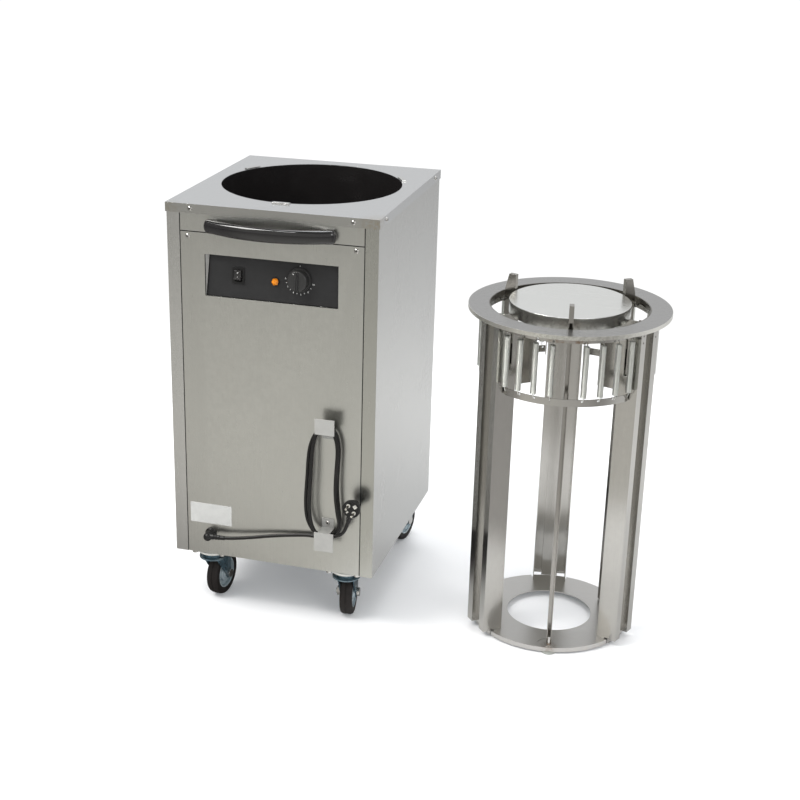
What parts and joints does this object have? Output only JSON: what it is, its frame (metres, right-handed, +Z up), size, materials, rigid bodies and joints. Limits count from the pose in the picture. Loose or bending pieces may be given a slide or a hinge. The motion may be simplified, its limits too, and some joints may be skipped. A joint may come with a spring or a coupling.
{
  "type": "plate dispenser cart",
  "caption": "Heated plate dispenser cart: steel cabinet on swivel casters with a round well, control panel, handle and corded plug, and the spring-loaded plate cage that stands beside it.",
  "frame": {"origin": "floor level at the middle of the whole set's footprint, the cart and the cage that stands beside it", "axes": "+Z up, the control and handle side of the cart towards -Y, the cage on the cart's +X side"},
  "size_m": [0.997, 0.5871, 0.9025],
  "materials": {
    "brushed_stainless": "brushed, satin",
    "cage_stainless": "bright rolled",
    "galvanised_sheet": "dull galvanised",
    "well_black": "glossy black enamel",
    "charcoal_paint": "satin charcoal",
    "black_plastic": "satin black",
    "gloss_black": "glossy black",
    "amber_lens": "clear amber",
    "white_plate": "matte white",
    "blue_zinc": "bright blue zinc plate",
    "screw_steel": "bright",
    "black_rubber": "matte",
    "cord_black": "satin",
    "plug_black": "satin",
    "nickel": "bright nickel",
    "spring_zinc": "pale zinc plate",
    "white_nylon": "waxy",
    "heater_sheath": "dark oxidised sheath"
  },
  "bodies": {
    "cabinet": {"lid": "brushed_stainless", "well_clips": "galvanised_sheet", "side_panel_left": "brushed_stainless", "side_panel_right": "brushed_stainless", "back_panel": "brushed_stainless", "crossbar": "brushed_stainless", "front_panel": "brushed_stainless", "panel_screws": "screw_steel", "floor_pan": "galvanised_sheet", "well_liner": "well_black", "heating_element": "heater_sheath", "control_frame": "charcoal_paint", "control_fascia": "charcoal_paint", "switch_housing": "black_plastic", "pilot_lamp": "amber_lens", "thermostat_body": "galvanised_sheet", "handle": "gloss_black", "caster_plates": "blue_zinc", "caster_bolts": "screw_steel", "rating_plate": "white_plate", "cord_gland": "black_plastic", "cord_hook_upper": "brushed_stainless", "cord_hook_lower": "brushed_stainless", "cord_lead": "cord_black", "cord_hank": "cord_black", "cord_tail": "cord_black", "plug_body": "plug_black", "plug_pins": "nickel"},
    "swivel_front_left": {"caster_fork_front_left": "blue_zinc", "caster_axle_front_left": "blue_zinc"},
    "wheel_front_left": {"caster_hub_front_left": "blue_zinc", "caster_tyre_front_left": "black_rubber"},
    "swivel_front_right": {"caster_fork_front_right": "blue_zinc", "caster_axle_front_right": "blue_zinc"},
    "wheel_front_right": {"caster_hub_front_right": "blue_zinc", "caster_tyre_front_right": "black_rubber"},
    "swivel_back_left": {"caster_fork_back_left": "blue_zinc", "caster_axle_back_left": "blue_zinc"},
    "wheel_back_left": {"caster_hub_back_left": "blue_zinc", "caster_tyre_back_left": "black_rubber"},
    "swivel_back_right": {"caster_fork_back_right": "blue_zinc", "caster_axle_back_right": "blue_zinc"},
    "wheel_back_right": {"caster_hub_back_right": "blue_zinc", "caster_tyre_back_right": "black_rubber"},
    "knob": {"thermostat_knob": "black_plastic"},
    "rocker": {"rocker": "gloss_black"},
    "cage": {"flange_ring": "cage_stainless", "base_ring": "cage_stainless", "columns": "cage_stainless", "spring_hangers": "cage_stainless", "extension_springs": "spring_zinc", "cage_feet": "black_rubber"},
    "carriage": {"platform": "cage_stainless", "platform_spider": "cage_stainless", "carriage_brackets": "cage_stainless", "glide_shoes": "white_nylon", "spring_strips": "cage_stainless"},
    "guide_1": {"plate_guide_1": "cage_stainless"},
    "guide_2": {"plate_guide_2": "cage_stainless"},
    "guide_3": {"plate_guide_3": "cage_stainless"}
  },
  "joints": [
    {"name": "swivel_front_left", "type": "hinge", "parent": "cabinet", "child": "swivel_front_left", "pos_m": [-0.42545, -0.19832, 0.12], "axis": [0, 0, 1], "continuous": true},
    {"name": "roll_front_left", "type": "hinge", "parent": "swivel_front_left", "child": "wheel_front_left", "pos_m": [-0.42148, -0.16053, 0.05], "axis": [-0.9945, 0.1045, 0], "continuous": true},
    {"name": "swivel_front_right", "type": "hinge", "parent": "cabinet", "child": "swivel_front_right", "pos_m": [-0.11945, -0.19832, 0.12], "axis": [0, 0, 1], "continuous": true},
    {"name": "roll_front_right", "type": "hinge", "parent": "swivel_front_right", "child": "wheel_front_right", "pos_m": [-0.12474, -0.16069, 0.05], "axis": [-0.9903, -0.1392, 0], "continuous": true},
    {"name": "swivel_back_left", "type": "hinge", "parent": "cabinet", "child": "swivel_back_left", "pos_m": [-0.42545, 0.19768, 0.12], "axis": [0, 0, 1], "continuous": true},
    {"name": "roll_back_left", "type": "hinge", "parent": "swivel_back_left", "child": "wheel_back_left", "pos_m": [-0.44502, 0.23025, 0.05], "axis": [-0.8572, -0.515, 0], "continuous": true},
    {"name": "swivel_back_right", "type": "hinge", "parent": "cabinet", "child": "swivel_back_right", "pos_m": [-0.11945, 0.19768, 0.12], "axis": [0, 0, 1], "continuous": true},
    {"name": "roll_back_right", "type": "hinge", "parent": "swivel_back_right", "child": "wheel_back_right", "pos_m": [-0.11285, 0.2351, 0.05], "axis": [-0.9848, 0.1736, 0], "continuous": true},
    {"name": "thermostat_turn", "type": "hinge", "parent": "cabinet", "child": "knob", "pos_m": [-0.21445, -0.23281, 0.76284], "axis": [0, 0.9968, -0.0802], "range_deg": [0, 270]},
    {"name": "rocker_tilt", "type": "hinge", "parent": "cabinet", "child": "rocker", "pos_m": [-0.34395, -0.23006, 0.75961], "axis": [1, 0, 0], "range_deg": [0, 24]},
    {"name": "insert_lift", "type": "slide", "parent": "cabinet", "child": "cage", "axis": [0, 0, 1], "range_m": [0, 0.91]},
    {"name": "carriage_slide", "type": "slide", "parent": "cage", "child": "carriage", "axis": [0, 0, 1], "range_m": [-0.5, 0], "stiffness_N_per_m": 700, "springref_m": 0.06, "deforming": ["extension_springs"]},
    {"name": "guide_turn_1", "type": "hinge", "parent": "cage", "child": "guide_1", "pos_m": [0.32164, -0.19295, 0.014], "axis": [0, 0, 1], "range_deg": [0, 60]},
    {"name": "guide_turn_2", "type": "hinge", "parent": "cage", "child": "guide_2", "pos_m": [0.41405, 0.06096, 0.014], "axis": [0, 0, 1], "range_deg": [0, 60]},
    {"name": "guide_turn_3", "type": "hinge", "parent": "cage", "child": "guide_3", "pos_m": [0.14796, 0.01404, 0.014], "axis": [0, 0, 1], "range_deg": [0, 60]}
  ]
}
